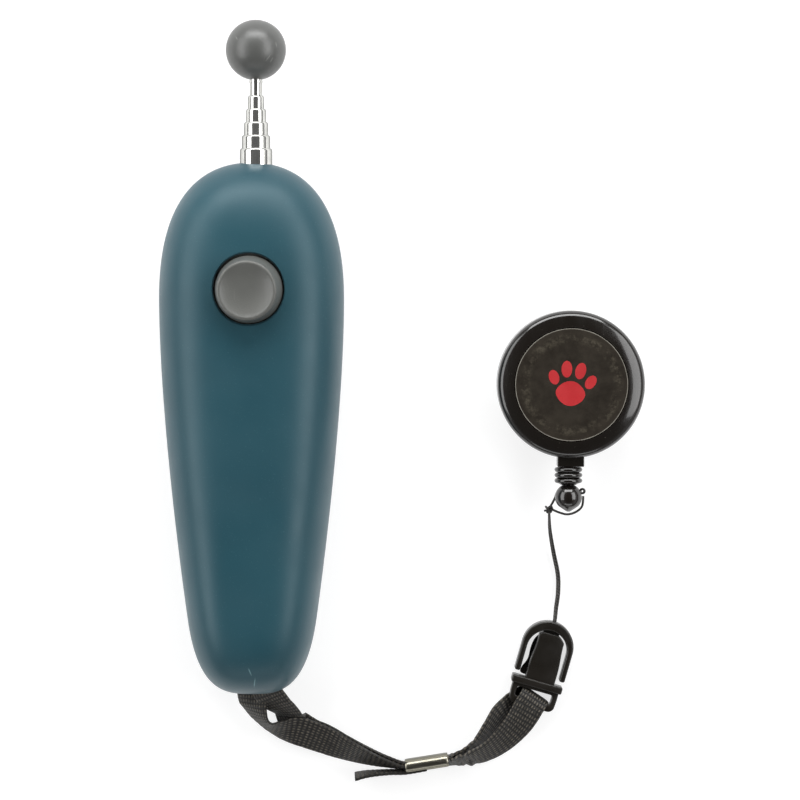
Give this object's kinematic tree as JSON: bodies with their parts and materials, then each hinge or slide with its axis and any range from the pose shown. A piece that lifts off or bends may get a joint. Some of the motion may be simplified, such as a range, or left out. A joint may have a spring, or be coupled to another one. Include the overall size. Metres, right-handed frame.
{
  "type": "clicker trainer",
  "caption": "Pet-training clicker handle with a push button and telescopic target stick, strapped by a buckle to a round retractable belt reel",
  "frame": {"origin": "middle of the handle's length and width, on the flat of its rear shell, the surface that the handle lies on", "axes": "+Y along the handle towards the target ball, +Z out of the button face, +X towards the side where the reel lies"},
  "size_m": [0.1051, 0.1659, 0.0286],
  "materials": {
    "handle_soft": "soft-touch matt",
    "button_grey": "satin",
    "ball_grey": "matt",
    "stick_chrome": "polished",
    "sleeve_brass": "satin",
    "steel": "brushed",
    "buckle_black": "satin",
    "reel_black": "glossy",
    "webbing": "ribbed weave",
    "cord_black": "twisted",
    "label_dull": "dull film",
    "inner_moulding": "plain"
  },
  "bodies": {
    "handle": {"front_shell": "handle_soft", "rear_shell": "handle_soft", "shell_screws": "steel", "click_frame": "inner_moulding", "plate_root": "steel", "plate_screw": "steel", "strap_pin": "steel", "stick_anchor": "buckle_black", "stick_tube_1": "stick_chrome", "strap_loop": "webbing", "strap_return": "webbing", "strap_tail": "webbing", "ferrule": "steel", "buckle_base": "buckle_black"},
    "button": {"button_cap": "button_grey"},
    "tongue": {"click_plate": "steel"},
    "section_2": {"stick_tube_2": "stick_chrome", "tail_sleeve_2": "sleeve_brass"},
    "section_3": {"stick_tube_3": "stick_chrome", "tail_sleeve_3": "sleeve_brass"},
    "section_4": {"stick_tube_4": "stick_chrome", "tail_sleeve_4": "sleeve_brass"},
    "section_5": {"stick_tube_5": "stick_chrome", "tail_sleeve_5": "sleeve_brass"},
    "rod_end": {"stick_rod": "stick_chrome", "tail_sleeve_6": "sleeve_brass", "rod_collar": "stick_chrome", "target_ball": "ball_grey"},
    "cord_end": {"buckle_hoop": "buckle_black", "hang_cord": "cord_black", "cord_knot": "cord_black", "cord_bead": "reel_black", "cord_collar": "reel_black", "pull_cord": "cord_black"},
    "reel": {"reel_front": "reel_black", "reel_rear": "reel_black", "reel_label": "label_dull", "reel_post": "inner_moulding", "reel_spring": "steel", "clip_rivet": "steel"},
    "spool": {"reel_spool": "inner_moulding", "wound_cord": "cord_black"},
    "clip": {"belt_clip": "steel"}
  },
  "joints": [
    {"name": "button_press", "type": "slide", "parent": "handle", "child": "button", "axis": [0, 0, -1], "range_m": [0, 0.0015], "stiffness_N_per_m": 1600, "springref_m": -0.0006},
    {"name": "tongue_snap", "type": "hinge", "parent": "handle", "child": "tongue", "pos_m": [0, 0.041, 0.0182], "axis": [1, 0, 0], "range_deg": [0, 8.2]},
    {"name": "stick_slide_2", "type": "slide", "parent": "handle", "child": "section_2", "axis": [0, 1, 0], "range_m": [0, 0.0973]},
    {"name": "stick_slide_3", "type": "slide", "parent": "section_2", "child": "section_3", "axis": [0, 1, 0], "range_m": [0, 0.0995]},
    {"name": "stick_slide_4", "type": "slide", "parent": "section_3", "child": "section_4", "axis": [0, 1, 0], "range_m": [0, 0.1018]},
    {"name": "stick_slide_5", "type": "slide", "parent": "section_4", "child": "section_5", "axis": [0, 1, 0], "range_m": [0, 0.104]},
    {"name": "stick_slide_6", "type": "slide", "parent": "section_5", "child": "rod_end", "axis": [0, 1, 0], "range_m": [0, 0.1063]},
    {"name": "buckle_release", "type": "slide", "parent": "handle", "child": "cord_end", "axis": [0.2756, 0.9613, 0], "range_m": [0, 0.012]},
    {"name": "cord_pull", "type": "slide", "parent": "cord_end", "child": "reel", "axis": [0, 1, 0], "range_m": [0, 0.6], "stiffness_N_per_m": 0.8, "springref_m": -1},
    {"name": "spool_spin", "type": "hinge", "parent": "reel", "child": "spool", "pos_m": [0.0691, 0.00965, 0.0091], "axis": [0, 0, 1], "continuous": true},
    {"name": "clip_swivel", "type": "hinge", "parent": "reel", "child": "clip", "pos_m": [0.0691, 0.00965, 0.0042], "axis": [0, 0, 1], "continuous": true}
  ],
  "couplings": [
    {"joint": "tongue_snap", "follows": "button_press", "rad_per_m": 94.67},
    {"joint": "spool_spin", "follows": "cord_pull", "rad_per_m": 79.37}
  ]
}
